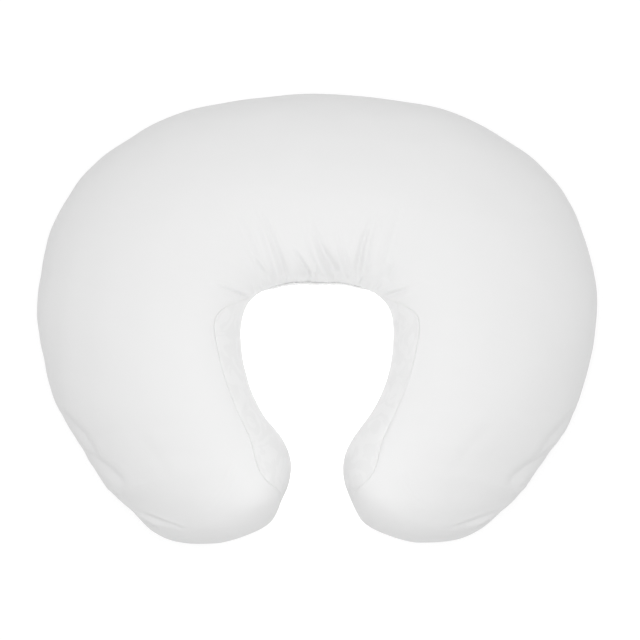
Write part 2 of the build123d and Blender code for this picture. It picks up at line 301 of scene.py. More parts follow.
def hem_pleats(count, rng):
    """Short pleats all along the gathered hem, radiating from the waist opening."""
    folds = []
    for i in range(count):
        along = (i + 0.5) / count * 2 - 1 + rng.uniform(-0.35, 0.35) * 2 / count
        foot = INNER.at(abs(along) * PLEAT_REACH / INNER.length)
        foot[0] *= math.copysign(1, along)
        lean = 0.42 * along + rng.uniform(-0.22, 0.22)
        length = rng.uniform(7, 26) * (1 - 0.35 * abs(along))
        way = np.array([math.sin(lean), math.cos(lean)])
        depth = rng.uniform(0.35, 0.95)
        width = rng.uniform(1.1, 2.0)
        side = rng.choice([-1, 1])
        folds.append(Fold(foot + way * length, foot - way * 2.5, depth, width, 0.6, side, 0, 1.7))
    return folds


NOISE_WAVES = 9


def soft_noise(points, scale, seed):
    """Smooth noise: a few sine waves about scale long, in mixed directions."""
    rng = np.random.default_rng(seed)
    total = np.zeros(points.shape[:-1])
    for _ in range(NOISE_WAVES):
        way = rng.normal(size=3)
        way *= rng.uniform(0.6, 1.6) / scale / np.linalg.norm(way)
        total += np.sin(points @ way * 2 * math.pi + rng.uniform(0, 6.3))
    return total / 3


# ------------------------------------------------------------ zipper frame --
def zip_place(angle, g, n):
    """Place in the row frame for an angle round the arm, g up and n outward."""
    a, turn = np.radians(angle), ZIP_LEAN - np.asarray(g) / ZIP_ROUND
    r = ZIP_RADIUS - ZIP_ROUND * math.cos(ZIP_LEAN) + (ZIP_ROUND + n) * np.cos(turn)
    z = SEAM_Z + ZIP_ROUND * math.sin(ZIP_LEAN) - (ZIP_ROUND + n) * np.sin(turn)
    return np.stack(np.broadcast_arrays(
        ARM_CENTRE[0] + r * np.cos(a), ARM_CENTRE[1] + r * np.sin(a), z), -1)


def zip_coordinates(points):
    """(angle, g, n) of points in the row frame."""
    rel = points[..., :2] - ARM_CENTRE
    angle = np.degrees(np.arctan2(rel[..., 1], rel[..., 0]))
    r = np.linalg.norm(rel, axis=-1) - (ZIP_RADIUS - ZIP_ROUND * math.cos(ZIP_LEAN))
    z = points[..., 2] - (SEAM_Z + ZIP_ROUND * math.sin(ZIP_LEAN))
    turn = np.arctan2(-z, r)
    return angle, (ZIP_LEAN - turn) * ZIP_ROUND, np.hypot(r, z) - ZIP_ROUND


END_FADE = (2, 7)        # degrees past the chain's ends between which its hold on the cloth fades
SIDE_FADE = (9, 26)      # and distances from its middle
HOLD_DEPTH = 25          # only cloth this near the zipper's own surface is held


def zip_weight(points):
    """1 along the zipper, falling to 0 away from it."""
    angle, g, n = zip_coordinates(points)
    bottom = smoothstep(ZIP_BOTTOM - END_FADE[1], ZIP_BOTTOM - END_FADE[0], angle)
    top = 1 - smoothstep(ZIP_TOP + END_FADE[0], ZIP_TOP + END_FADE[1], angle)
    return bottom * top * (1 - smoothstep(*SIDE_FADE, np.abs(g))) * (np.abs(n) < HOLD_DEPTH)


# ------------------------------------------------------------------ meshes --
def build_mesh(name, points, faces, material, smooth=True):
    mesh = bpy.data.meshes.new(name)
    mesh.from_pydata((np.asarray(points) * MM).tolist(), [], faces)
    mesh.polygons.foreach_set("use_smooth", [smooth] * len(mesh.polygons))
    mesh.update()
    piece = bpy.data.objects.new(name, mesh)
    bpy.context.scene.collection.objects.link(piece)
    piece.data.materials.append(material)
    return piece


def grid_faces(rows, columns, wrap=False):
    base = np.arange(rows * columns).reshape(rows, columns)
    right = np.roll(base, -1, axis=1) if wrap else base[:, 1:]
    left = base if wrap else base[:, :-1]
    quads = np.stack([left[:-1], right[:-1], right[1:], left[1:]], -1)
    return quads.reshape(-1, 4).tolist()


# --------------------------------------------------------------- materials --
def new_material(name):
    material = bpy.data.materials.new(name)
    material.use_nodes = True
    tree = material.node_tree
    return material, tree, tree.nodes["Principled BSDF"]


def add_node(tree, kind, inputs=None, **settings):
    node = tree.nodes.new(kind)
    for key, value in settings.items():
        setattr(node, key, value)
    for key, value in (inputs or {}).items():
        if isinstance(value, bpy.types.NodeSocket):
            tree.links.new(value, node.inputs[key])
        else:
            node.inputs[key].default_value = value
    return node


def math_node(tree, operation, a, b=0.0):
    return add_node(tree, "ShaderNodeMath", {0: a, 1: b}, operation=operation).outputs[0]


MIX_FIRST, MIX_SECOND, MIX_RESULT = 6, 7, 2  # the colour sockets of a Mix node


def tint_surface(tree, surface, factor, first, second):
    """Base colour that runs from one colour to another with a factor."""
    tint = add_node(tree, "ShaderNodeMix", data_type="RGBA")
    tree.links.new(factor, tint.inputs["Factor"])
    tint.inputs[MIX_FIRST].default_value = (*first, 1)
    tint.inputs[MIX_SECOND].default_value = (*second, 1)
    tree.links.new(tint.outputs[MIX_RESULT], surface.inputs["Base Color"])


def thread_waves(tree, position, pitch, turn):
    """Over-and-under threads of a plain weave, from products of waves along the axes."""
    spin = add_node(tree, "ShaderNodeMapping", {"Vector": position, "Rotation": turn})
    split = add_node(tree, "ShaderNodeSeparateXYZ", {0: spin.outputs[0]})
    waves = [
        math_node(tree, "SINE", math_node(tree, "MULTIPLY", split.outputs[k], 2 * math.pi / pitch))
        for k in range(3)
    ]
    xy = math_node(tree, "MULTIPLY", waves[0], waves[1])
    return math_node(tree, "ADD", xy, math_node(tree, "MULTIPLY", waves[2], waves[0]))


WEAVE_TURN = math.radians(8)
CLOTH_ROUGHNESS = 0.88


def cloth_material(name, colour, shade, pitch=0.00045, mottle=0.0, fuzz=0.12):
    """Woven cotton: fine weave bump, slight slubs and unevenness, soft sheen."""
    material, tree, surface = new_material(name)
    place = add_node(tree, "ShaderNodeTexCoord").outputs["Object"]
    cloudy = add_node(tree, "ShaderNodeTexNoise", {"Vector": place, "Scale": 9.0, "Detail": 4.0})
    fine = add_node(tree, "ShaderNodeTexNoise", {"Vector": place, "Scale": 900.0, "Detail": 3.0})
    drawn_out = add_node(tree, "ShaderNodeMapping", {"Vector": place, "Scale": (40, 1400, 400)})
    slub = add_node(tree, "ShaderNodeTexNoise", {
        "Vector": drawn_out.outputs[0], "Scale": 1.0, "Detail": 2.0})
    blend = math_node(tree, "ADD", math_node(tree, "MULTIPLY", cloudy.outputs["Fac"], 0.6),
                      math_node(tree, "MULTIPLY", fine.outputs["Fac"], 0.4))
    if mottle:
        swirl = add_node(tree, "ShaderNodeTexNoise", {
            "Vector": place, "Scale": 38.0, "Detail": 1.5, "Distortion": 2.6})
        ramp = add_node(tree, "ShaderNodeMapRange", {
            "Value": swirl.outputs["Fac"], "From Min": 0.47, "From Max": 0.53})
        blend = math_node(tree, "ADD", math_node(tree, "MULTIPLY", blend, 1 - mottle),
                          math_node(tree, "MULTIPLY", ramp.outputs[0], mottle))
    tint_surface(tree, surface, blend, shade, colour)
    weave = thread_waves(tree, place, pitch, (0, 0, WEAVE_TURN))
    height = math_node(tree, "ADD", math_node(tree, "MULTIPLY", weave, 0.5),
                       math_node(tree, "MULTIPLY", slub.outputs["Fac"], 0.8))
    bump = add_node(tree, "ShaderNodeBump", {"Height": height, "Strength": 0.25, "Distance": 0.00012})
    tree.links.new(bump.outputs[0], surface.inputs["Normal"])
    rough = add_node(tree, "ShaderNodeMapRange", {
        "Value": fine.outputs["Fac"], "To Min": CLOTH_ROUGHNESS - 0.06, "To Max": CLOTH_ROUGHNESS + 0.08})
    tree.links.new(rough.outputs[0], surface.inputs["Roughness"])
    surface.inputs["Sheen Weight"].default_value = fuzz
    surface.inputs["Sheen Roughness"].default_value = 0.45
    surface.inputs["Specular IOR Level"].default_value = 0.25
    return material


WEAR = 0.03


def hard_material(name, colour, roughness):
    """Moulded nylon or enamelled metal with slight scuffs."""
    material, tree, surface = new_material(name)
    place = add_node(tree, "ShaderNodeTexCoord").outputs["Object"]
    scuff = add_node(tree, "ShaderNodeTexNoise", {"Vector": place, "Scale": 700.0, "Detail": 5.0})
    tint_surface(tree, surface, scuff.outputs["Fac"], [c * (1 - WEAR) for c in colour], colour)
    rough = add_node(tree, "ShaderNodeMapRange", {
        "Value": scuff.outputs["Fac"], "To Min": roughness - 0.08, "To Max": roughness + 0.12})
    tree.links.new(rough.outputs[0], surface.inputs["Roughness"])
    bump = add_node(tree, "ShaderNodeBump", {
        "Height": scuff.outputs["Fac"], "Strength": 0.15, "Distance": 0.00003})
    tree.links.new(bump.outputs[0], surface.inputs["Normal"])
    return material


COTTON = cloth_material("cover_cotton", (0.73, 0.73, 0.73), (0.71, 0.71, 0.71))
UNDERSIDE = cloth_material("cover_underside", (0.73, 0.73, 0.73), (0.70, 0.70, 0.70), mottle=0.6)
HEM = cloth_material("hem_cotton", (0.80, 0.80, 0.80), (0.76, 0.76, 0.76))
THREAD = cloth_material("thread", (0.74, 0.74, 0.73), (0.68, 0.68, 0.67), pitch=0.00018)
CASING = cloth_material("casing_cloth", (0.76, 0.755, 0.73), (0.71, 0.70, 0.68), pitch=0.0006)
BATTING = cloth_material("fiber_batting", (0.84, 0.84, 0.83), (0.78, 0.78, 0.77), pitch=0.002, fuzz=0.6)
LABEL = cloth_material("label_cloth", (0.78, 0.78, 0.77), (0.74, 0.74, 0.73), pitch=0.0003)
ELASTIC = cloth_material("elastic_webbing", (0.78, 0.78, 0.76), (0.70, 0.70, 0.69), pitch=0.0008)
TAPE = cloth_material("zipper_tape", (0.76, 0.76, 0.75), (0.70, 0.70, 0.69), pitch=0.0004)
NYLON = hard_material("zipper_nylon", (0.80, 0.80, 0.79), 0.35)
ENAMEL = hard_material("zipper_enamel", (0.80, 0.80, 0.79), 0.28)


# ------------------------------------------------------------------- cover --
ROWS = 620
TOP_COLUMNS = 150
BOTTOM_COLUMNS = 120
SLOT_HALF = 3.3      # the cloth stands this far back from the middle of the chain
SEAM_TUCK = 0.22     # depth of the groove where the two panels meet
GROOVE = 1.0         # how far from the seam the cloth starts to turn in
SEWN = 3.0           # folds are held flat within this distance of a seam
SEWN_HOLD = 0.9      # share of a fold's height that the seam takes away
PUCKER = 0.10        # height of the small waves beside a seam
PUCKER_PITCH = 4.6
PUCKER_FADE = 6.0
FOLDS_FADE = 40.0    # folds fade where half the section is narrower than this, at the tips
LIP_FADE = 30.0      # and so does the turned-in edge
COLUMN_EASE = 0.055  # columns stand closer together near the seams
CLOTH_LOWEST = 0.35  # lowest level of the cloth over the floor
LIP = ((0.5, 0.0), (1.1, 0.25), (1.35, 1.2), (1.4, 4.0))  # turned-in edge: (down, back)
TOP_FOLDS = GATHER_FOLDS + CORNER_FOLDS + hem_pleats(44, RNG)
UNDER_PLEATS = hem_pleats(34, RNG)
SIDE_FOLDS = LEFT_ARM_FOLDS + RIGHT_ARM_FOLDS


def fold_height(points, folds):
    """Sum of the folds over a grid, computed only near each one."""
    flat = points.reshape(-1, 3)
    total = np.zeros(len(flat))
    for fold in folds:
        middle = (fold.start + fold.end) / 2
        reach = np.linalg.norm(fold.end - fold.start) * 0.7 + 5 * fold.width
        near = np.linalg.norm(flat[:, :2] - middle, axis=1) < reach
        total[near] += fold.height(flat[near, :2])
    return total.reshape(points.shape[:-1])


DEEPEST = 9.0        # where creases cross, they go no deeper than this


def soft_limit(height):
    """Heights as they are, and depths that level off."""
    return np.where(height < 0, DEEPEST * np.tanh(height / DEEPEST), height)


BROAD_WAVES = (95, 3)    # (length, seed) of the cloth's two kinds of unevenness
SMALL_WAVES = (38, 4)
BROAD_HEIGHT = 0.9
SMALL_HEIGHT = 0.25
ZIP_HOLD = 0.9           # share of the folds that the zipper takes away
FLOOR_HOLD = (1.0, 14.0) # heights over the floor between which folds come in


def drape(points, normals, folds, side_folds):
    """Folds and soft unevenness of the cloth, as a height along the normals.

    The arms' creases are shallower where the cloth stands upright or faces down.
    """
    uneven = soft_noise(points, *BROAD_WAVES) * BROAD_HEIGHT
    uneven = uneven + soft_noise(points, *SMALL_WAVES) * SMALL_HEIGHT
    facing_up = 0.3 + 0.7 * smoothstep(0.0, 0.35, normals[..., 2])
    height = fold_height(points, folds) + facing_up * fold_height(points, side_folds)
    free = 1 - ZIP_HOLD * zip_weight(points)
    clear_of_floor = smoothstep(*FLOOR_HOLD, points[..., 2])
    return (soft_limit(height) + uneven) * free * clear_of_floor


# How far the loose cover stands out beyond the stuffed shape, by station
FULLNESS = np.array([
    (0, 1.8), (0.12, 1.0), (0.2, 2.0), (0.3, 2.0), (0.37, 0.2), (0.48, 0.4), (0.57, 3.4),
    (0.66, 3.6), (0.70, 0.8), (0.75, 0.2), (0.785, 3.2), (0.81, 1.2), (0.86, 1.8), (0.9, 1.0),
    (0.95, 1.6), (0.98, 0), (1, 0),
])
FULLEST_ANGLE = 12   # angle up the section where the cover stands out most
TIP_PUSH = 3.2       # how far the cover stands out past the stuffed tips
TIP_WAY = (0.44, 0.90)  # way that it stands out, towards the middle and towards the mouth


def stand_out(u, angles):
    """Fullness round the outside of the section."""
    amount = np.interp(np.abs(u), FULLNESS[:, 0], FULLNESS[:, 1])[:, None]
    return amount * np.clip(np.cos(np.radians(angles - FULLEST_ANGLE)), 0, 1) ** 1.5


def push_tips(points, u):
    """The end of the cover stands out past the stuffed tip, the same for both panels."""
    push = TIP_PUSH * smoothstep(0.9, 1.0, np.abs(u))[:, None]
    points[..., 0] -= TIP_WAY[0] * push * np.sign(u)[:, None]
    points[..., 1] -= TIP_WAY[1] * push
    return points


def slot_opening(section):
    """Degrees of section that each panel stands back for the zipper, per station.

    The slot opens and closes within about a degree of the chain's ends. Past the closed end
    the panels leave a small gap.
    """
    seam = section.points(section.outer_seam[:, None])[:, 0]
    angle = zip_coordinates(seam)[0]
    ends = smoothstep(ZIP_BOTTOM - 0.8, ZIP_BOTTOM + 0.3, angle)
    ends *= 1 - smoothstep(ZIP_TOP - 0.2, ZIP_TOP + 0.7, angle)
    return math.degrees(SLOT_HALF / ZIP_ROUND) * ends * (seam[:, 0] > 0)


ZIP_CLOTH_LEVEL = -0.3   # under the zipper's own surface
HUG_FADE = (6, 24)       # distances from the chain between which the cloth leaves that surface


def hug_zipper(points):
    """Lay the cloth just under the zipper's own surface beside the chain."""
    angle, g, _ = zip_coordinates(points)
    weight = zip_weight(points) * (1 - smoothstep(*HUG_FADE, np.abs(g)))
    return points + (zip_place(angle, g, ZIP_CLOTH_LEVEL) - points) * weight[..., None]


def turned_edge(points, normals, size, first):
    """Extra columns where the cloth turns in behind a seam."""
    edge, beside, normal = (
        (points[:, 0], points[:, 1], normals[:, 0]) if first
        else (points[:, -1], points[:, -2], normals[:, -1])
    )
    back = beside - edge
    back /= np.maximum(np.linalg.norm(back, axis=-1, keepdims=True), 1e-6)
    columns = [edge - normal * down * size + back * behind * size for down, behind in LIP]
    return np.stack(columns[::-1] if first else columns, axis=1)


def cover_points(columns, angles_of, folds, side_folds=()):
    """Grid of one panel of the cover: rows along the C, columns from seam to seam."""
    u = stations(ROWS)
    section = Sections(u)
    start, end = angles_of(section)
    v = np.linspace(0, 1, columns)
    eased = v - COLUMN_EASE * np.sin(2 * math.pi * v)
    angles = start[:, None] + (end - start)[:, None] * eased[None]
    points = push_tips(section.points(angles), u)
    tips = points[[0, -1], :1].copy()
    normals = grid_normals(points)
    run = np.linalg.norm(np.diff(points, axis=1), axis=-1)
    from_start = np.concatenate([np.zeros((ROWS, 1)), np.cumsum(run, axis=1)], axis=1)
    edge = np.minimum(from_start, from_start[:, -1:] - from_start)
    tuck = -SEAM_TUCK * np.exp(-(edge / GROOVE) ** 1.3)
    waves = np.sin(u * OUTER.length / PUCKER_PITCH * 2 * math.pi)[:, None]
    pucker = PUCKER * waves * np.exp(-(edge / PUCKER_FADE) ** 2)
    sewn = 1 - SEWN_HOLD * np.exp(-(edge / SEWN) ** 2)
    sewn *= np.clip(section.half / FOLDS_FADE, 0, 1)[:, None]
    loose = 1 - zip_weight(points)
    height = drape(points, normals, folds, side_folds) * sewn
    height = height + (tuck + pucker + stand_out(u, angles)) * loose
    points = hug_zipper(points + normals * height[..., None])
    size = np.clip(section.half / LIP_FADE, 0, 1)[:, None] ** 2
    lips = [turned_edge(points, normals, size, first) for first in (True, False)]
    points = np.concatenate([lips[0], points, lips[1]], axis=1)
    points[..., 2] = np.maximum(points[..., 2], CLOTH_LOWEST)
    points[[0, -1]] = tips
    return points


def grid_piece(name, points, material):
    return build_mesh(name, points.reshape(-1, 3), grid_faces(*points.shape[:2]), material)


def finish_piece(piece, body, slot, *nodes):
    """Attach the piece to the body it rides on and hide the CAD nodes it replaces. slot, the finish, is
    not used.
    """
    if nodes:
        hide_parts(*nodes)
    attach(piece, body)


def make_cover():
    """The two panels of the slipcover, each from seam to seam."""
    def top_angles(section):
        return section.outer_seam + slot_opening(section), section.inner_seam

    def bottom_angles(section):
        return section.inner_seam, 360 + section.outer_seam - slot_opening(section)

    top_points = cover_points(TOP_COLUMNS, top_angles, TOP_FOLDS, SIDE_FOLDS)
    top = grid_piece("cover_top_cloth", top_points, COTTON)
    bottom_points = cover_points(BOTTOM_COLUMNS, bottom_angles, UNDER_PLEATS)
    bottom = grid_piece("cover_bottom_cloth", bottom_points, UNDERSIDE)
    finish_piece(top, "pillow", "cover_cotton", "cover_top_panel")
    finish_piece(bottom, "pillow", "cover_underside", "cover_bottom_panel")


# ------------------------------------------------------------ inner pillow --
LAYER_ROWS = 300
LAYER_END = 0.985        # station where the inner layers stop, short of the cover's tips
SMALLEST = 1.5           # least half width, rise and drop of an inner section
CASING_INSET = 12.0
FILL_INSET = 14.5
CASING_SEAM = 1.4        # depth of the groove along the casing's seams
SEAM_ANGLE = 2.0         # half the groove's width, in degrees of section
RUCK_HEIGHT = 0.35       # the small puckers beside those seams
RUCK_ANGLE = 9           # and how far from them they reach
SWELL = (60, 11)         # (length, seed) of the inner layers' unevenness
SWELL_HEIGHT = 0.9
TUFT_HEIGHT = 0.5        # the batting's small lumps


def layer_points(columns, start, end, inset):
    """Grid of an inner layer, inset from the cover and pulled in along its seams."""
    section = Sections(np.linspace(-LAYER_END, LAYER_END, LAYER_ROWS))
    section.half = np.maximum(section.half - inset, SMALLEST)
    section.rise = np.maximum(section.rise - inset, SMALLEST)
    section.drop = np.maximum(section.drop - inset * 0.6, SMALLEST)
    angles = np.linspace(start, end, columns)[None] * np.ones((LAYER_ROWS, 1))
    points = section.points(angles)
    normals = grid_normals(points)
    edge = np.minimum(np.abs(angles - start), np.abs(end - angles))
    seam = -CASING_SEAM * np.exp(-(edge / SEAM_ANGLE) ** 1.4)
    waves = np.sin(np.arange(LAYER_ROWS) * 0.9)[:, None]
    ruck = RUCK_HEIGHT * waves * np.exp(-(edge / RUCK_ANGLE) ** 2)
    uneven = SWELL_HEIGHT * soft_noise(points, *SWELL)
    points = points + normals * (seam + ruck + uneven)[..., None]
    points[..., 2] = np.maximum(points[..., 2], 0.6 + inset * 0.12)
    return points


def make_inner_pillow():
    """The casing's two panels and the filling inside them."""
    for name, node, span in (
        ("casing_top_cloth", "casing_top_panel", (0, 180)),
        ("casing_bottom_cloth", "casing_bottom_panel", (180, 360)),
    ):
        piece = grid_piece(name, layer_points(60, *span, CASING_INSET), CASING)
        finish_piece(piece, "pillow", "casing_cloth", node)
    points = layer_points(121, 0, 360, FILL_INSET)[:, :-1]
    points += TUFT_HEIGHT * soft_noise(points, 9, 21)[..., None]
    faces = grid_faces(*points.shape[:2], wrap=True) + end_caps(*points.shape[:2])
    piece = build_mesh("fiber_fill_batting", points.reshape(-1, 3), faces, BATTING)
    finish_piece(piece, "pillow", "fiber", "fiber_fill")


# -------------------------------------------------------- tubes and strips --
def end_caps(rows, columns):
    """Polygons that close the two ends of a tube of rings."""
    first = list(range(columns))
    last = [(rows - 1) * columns + i for i in range(columns)]
    return [first, last[::-1]]


def tube(name, rings, material, smooth=True):
    rows, columns = rings.shape[:2]
    faces = grid_faces(rows, columns, wrap=True) + end_caps(rows, columns)
    return build_mesh(name, rings.reshape(-1, 3), faces, material, smooth)


def join_parts(name, parts, material):
    """One piece from several (points, faces)."""
    points, faces, start = [], [], 0
    for part_points, part_faces in parts:
        points.append(part_points)
        faces += [[i + start for i in face] for face in part_faces]
        start += len(part_points)
    return build_mesh(name, np.concatenate(points), faces, material)


ROUND_SIDES = 6          # sides of a thin round tube


def swept(centres, radius):
    """Points and faces of a round tube along a line of centres."""
    along = np.gradient(centres, axis=0)
    along /= np.linalg.norm(along, axis=1, keepdims=True)
    up = np.array([0.12, 0.07, 0.99])
    first = np.cross(along, up)
    first /= np.linalg.norm(first, axis=1, keepdims=True)
    second = np.cross(along, first)
    turns = np.linspace(0, 2 * math.pi, ROUND_SIDES, endpoint=False)
    rings = centres[:, None] + radius * (
        first[:, None] * np.cos(turns)[None, :, None] + second[:, None] * np.sin(turns)[None, :, None])
    faces = grid_faces(len(centres), ROUND_SIDES, wrap=True) + end_caps(len(centres), ROUND_SIDES)
    return rings.reshape(-1, 3), faces


STITCH_LENGTH = 2.0
THREAD_WIDTH = 0.34
STITCH_RINGS = 7
STITCH_ARCH = 0.22       # how high the middle of a stitch stands over its ends
STITCH_SINK = 0.12       # how deep its ends lie in the cloth


def stitch(place, along, outward):
    """Points and faces of one raised stitch, tapering into the cloth at both ends."""
    t = np.linspace(-0.5, 0.5, STITCH_RINGS)
    arch = np.sqrt(np.maximum(0, 1 - (2 * t) ** 2))
    raised = STITCH_ARCH * arch - STITCH_SINK
    line = place + along * (t * STITCH_LENGTH)[:, None] + outward * raised[:, None]
    side = np.cross(along, outward)
    turns = np.linspace(0, 2 * math.pi, ROUND_SIDES, endpoint=False)
    thick = THREAD_WIDTH / 2 * (0.35 + 0.65 * arch)
    rings = line[:, None] + thick[:, None, None] * (
        side * np.cos(turns)[None, :, None] + outward * np.sin(turns)[None, :, None])
    faces = grid_faces(STITCH_RINGS, ROUND_SIDES, wrap=True) + end_caps(STITCH_RINGS, ROUND_SIDES)
    return rings.reshape(-1, 3), faces


# --------------------------------------------------------------- hem pieces --
BELT = BELT_SHARE * KEEL_DROP
WELT_REACH = 57.0        # half the welt's length, along the gathered edge
WELT_SIZE = (2.6, 4.2)   # across and tall
WELT_OUT = 0.9           # how far its middle stands into the opening
WELT_LIFT = 0.6          # and over the belt
ELASTIC_REACH = 48.0
ELASTIC_SIZE = (0.8, 8.0)
ELASTIC_OUT = -3.2       # inside the cover
STRIP_END = 4.0          # length over which a strip's ends get thinner
STRIP_TUCK = 3.2         # how far its ends turn into the cover
STRIP_SIDES = 20
SQUARENESS = 0.6         # 1 is a round strip, and less is squarer
HEM_STITCHES = 33
HEM_STITCH_SHARE = 0.8   # share of the welt that the stitches run along
HEM_STITCH_OUT = 0.7
HEM_STITCH_LIFT = 2.75


def edge_line(reach, count):
    """Places along the gathered inner edge, their directions, and the way into the opening."""
    along = np.linspace(-reach, reach, count)
    share = np.abs(along) / INNER.length
    flat = INNER.at(share)
    flat[:, 0] *= np.where(along < 0, -1, 1)
    way = np.gradient(flat, axis=0)
    way /= np.linalg.norm(way, axis=1, keepdims=True)
    inward = np.stack([way[:, 1], -way[:, 0]], -1)
    return along, flat, way, inward


def hem_ripple(along):
    """The hem's small waves, where the gathers are sewn down."""
    return 0.35 * np.sin(along * 1.9) + 0.25 * np.sin(along * 0.83 + 1.0)


def strip_rings(reach, count, out, z, size, ripple):
    """Rings of a flattened strip that follows the gathered edge."""
    across, tall = size
    along, flat, _, inward = edge_line(reach, count)
    ends = np.sqrt(np.clip((reach - np.abs(along)) / STRIP_END, 0.05, 1))
    wave = ripple * hem_ripple(along)
    turns = np.linspace(0, 2 * math.pi, STRIP_SIDES, endpoint=False)
    sides = np.sign(np.cos(turns)) * np.abs(np.cos(turns)) ** SQUARENESS
    tucked = STRIP_TUCK * smoothstep(0.74, 1.0, np.abs(along) / reach)
    side = out - tucked[:, None] + across / 2 * sides[None] * ends[:, None] + wave[:, None] * 0.5
    tops = np.sign(np.sin(turns)) * np.abs(np.sin(turns)) ** SQUARENESS
    height = z + tall / 2 * tops[None] * ends[:, None] + wave[:, None] * 0.6
    xy = flat[:, None] + inward[:, None] * side[..., None]
    return np.concatenate([xy, height[..., None]], -1)


def make_welt():
    """The rolled edge of the waist opening."""
    rings = strip_rings(WELT_REACH, 420, WELT_OUT, BELT + WELT_LIFT, WELT_SIZE, 1.0)
    finish_piece(tube("hem_welt", rings, HEM), "pillow", "welt_cotton", "inner_edge_welt")


def make_elastic():
    """The band inside the hem that gathers it."""
    rings = strip_rings(ELASTIC_REACH, 300, ELASTIC_OUT, BELT, ELASTIC_SIZE, 0.6)
    rings[..., 2] += 0.12 * np.sin(np.arange(len(rings)) * 1.3)[:, None]
    band = tube("gather_elastic_band", rings, ELASTIC)
    finish_piece(band, "pillow", "elastic", "gather_elastic")


def make_hem_stitches():
    """A row of stitches on top of the welt."""
    along, flat, way, inward = edge_line(HEM_STITCH_SHARE * WELT_REACH, HEM_STITCHES)
    up = np.array([0.0, 0.0, 1.0])
    parts = []
    for k in range(HEM_STITCHES):
        wave = hem_ripple(along[k])
        x, y = flat[k] + inward[k] * (HEM_STITCH_OUT + wave * 0.5)
        place = np.array([x, y, BELT + HEM_STITCH_LIFT + wave * 0.6])
        parts.append(stitch(place, np.array([*way[k], 0.0]), up))
    finish_piece(join_parts("hem_topstitch", parts, THREAD), "pillow", "thread", "welt_topstitch")


# ------------------------------------------------------------------ zipper --
COIL_PITCH = 1.25
COIL_WIRE = 0.27         # radius of the coiled filament
LOOP_MIDDLE = 1.42       # middle of a coil's loops, from the middle of the chain
LOOP_HALF = 1.58         # half the width of a loop, so that it crosses the chain's middle
LOOP_LEVEL = -0.55
LOOP_HEIGHT = 0.7        # half the height of a loop
LOOP_STEPS = 12          # points round each loop
TAPE_EDGE = 0.85         # from the middle of the chain to a tape's inner edge
TAPE_WIDTH = 10.4
TAPE_LEVEL = -1.75
TAPE_THICK = 0.4
STRIP_ROWS = 260
STRIP_COLUMNS = 16
SEAM_ROWS = (-5.6, 5.6)  # the two rows of stitches, below and above the chain
SEAM_LEVEL = -0.22
SEAM_STEP = 0.62         # degrees from one stitch to the next
LABEL_HALF = 12
LABEL_THICK = 0.3


def zip_strip(name, g, n, thick, angles, material, mirror=False, ribs=0.0):
    """Flat strip laid along the zipper's frame, between two g values, or along the other arm."""
    a = np.linspace(*angles, STRIP_ROWS)
    steps = np.linspace(*g, STRIP_COLUMNS)
    upper = n + thick / 2 + ribs * np.cos(steps * 5)
    lower = np.full_like(steps, n - thick / 2)
    loop_g, loop_n = np.r_[steps, steps[::-1]], np.r_[upper, lower]
    rings = zip_place(a[:, None], loop_g[None], loop_n[None])
    if mirror:
        rings = rings[:, ::-1] * np.array([-1, 1, 1])
    return tube(name, rings, material, smooth=False)


def coil_line(side, angles):
    """Centreline of one nylon coil, whose loops reach between those of the other coil.

    The coils are meshed along the whole chain and do not part round the slider's post.
    """
    length = math.radians(abs(angles[1] - angles[0])) * ZIP_RADIUS
    turns = length / COIL_PITCH
    t = np.linspace(0, turns, int(turns * LOOP_STEPS))
    phase = 2 * math.pi * t + (math.pi if side < 0 else 0)
    g = side * (LOOP_MIDDLE + LOOP_HALF * np.cos(phase))
    n = LOOP_LEVEL + LOOP_HEIGHT * np.sin(phase)
    angle = angles[0] + (angles[1] - angles[0]) * t / turns
    return zip_place(angle, g, n)


def make_chain():
    """Tape and coil on each side of the chain."""
    tape_ends = (ZIP_TOP + 1.6, ZIP_BOTTOM - 1.6)
    coil_ends = (ZIP_TOP - 0.6, ZIP_BOTTOM + 0.6)
    upper, lower = (TAPE_EDGE, TAPE_EDGE + TAPE_WIDTH), (-TAPE_EDGE - TAPE_WIDTH, -TAPE_EDGE)
    for side, word, g in ((1, "upper", upper), (-1, "lower", lower)):
        tape = zip_strip(f"zip_tape_{word}", g, TAPE_LEVEL, TAPE_THICK, tape_ends, TAPE, ribs=0.05)
        finish_piece(tape, "pillow", "zipper_tape", f"zipper_tape_{word}")
        coil = join_parts(f"zip_coil_{word}", [swept(coil_line(side, coil_ends), COIL_WIRE)], NYLON)
        finish_piece(coil, "pillow", "zipper_nylon", f"zipper_coil_{word}")


def make_zip_stitches():
    """The rows of stitches that hold the cover to the tapes."""
    parts = []
    for g in SEAM_ROWS:
        for angle in np.arange(ZIP_BOTTOM, ZIP_TOP, SEAM_STEP):
            place = zip_place(angle, g, SEAM_LEVEL)
            along = zip_place(angle + 0.1, g, SEAM_LEVEL) - place
            outward = zip_place(angle, g, 1.0) - place
            along /= np.linalg.norm(along)
            outward /= np.linalg.norm(outward)
            parts.append(stitch(place, along, outward))
    finish_piece(join_parts("zip_topstitch", parts, THREAD), "pillow", "thread")


def make_labels():
    """The two blank labels, on the arm without the zipper."""
    for name, span, n, node in (
        ("care_label", (-20, -26), -1.9, "cover_care_label"),
        ("law_label", (-30, -38), -3.2, "casing_law_label"),
    ):
        label = zip_strip(name, (-LABEL_HALF, LABEL_HALF), n, LABEL_THICK, span, LABEL, mirror=True)
        finish_piece(label, "pillow", "label_cloth", node)


HARD_PARTS = (
    "slider_body", "slider_bail", "slider_lock_pin", "pull_tab", "zipper_top_stops", "zipper_bottom_stop",
)
EDGE_ROUND = 0.00012
EDGE_ANGLE = math.radians(35)


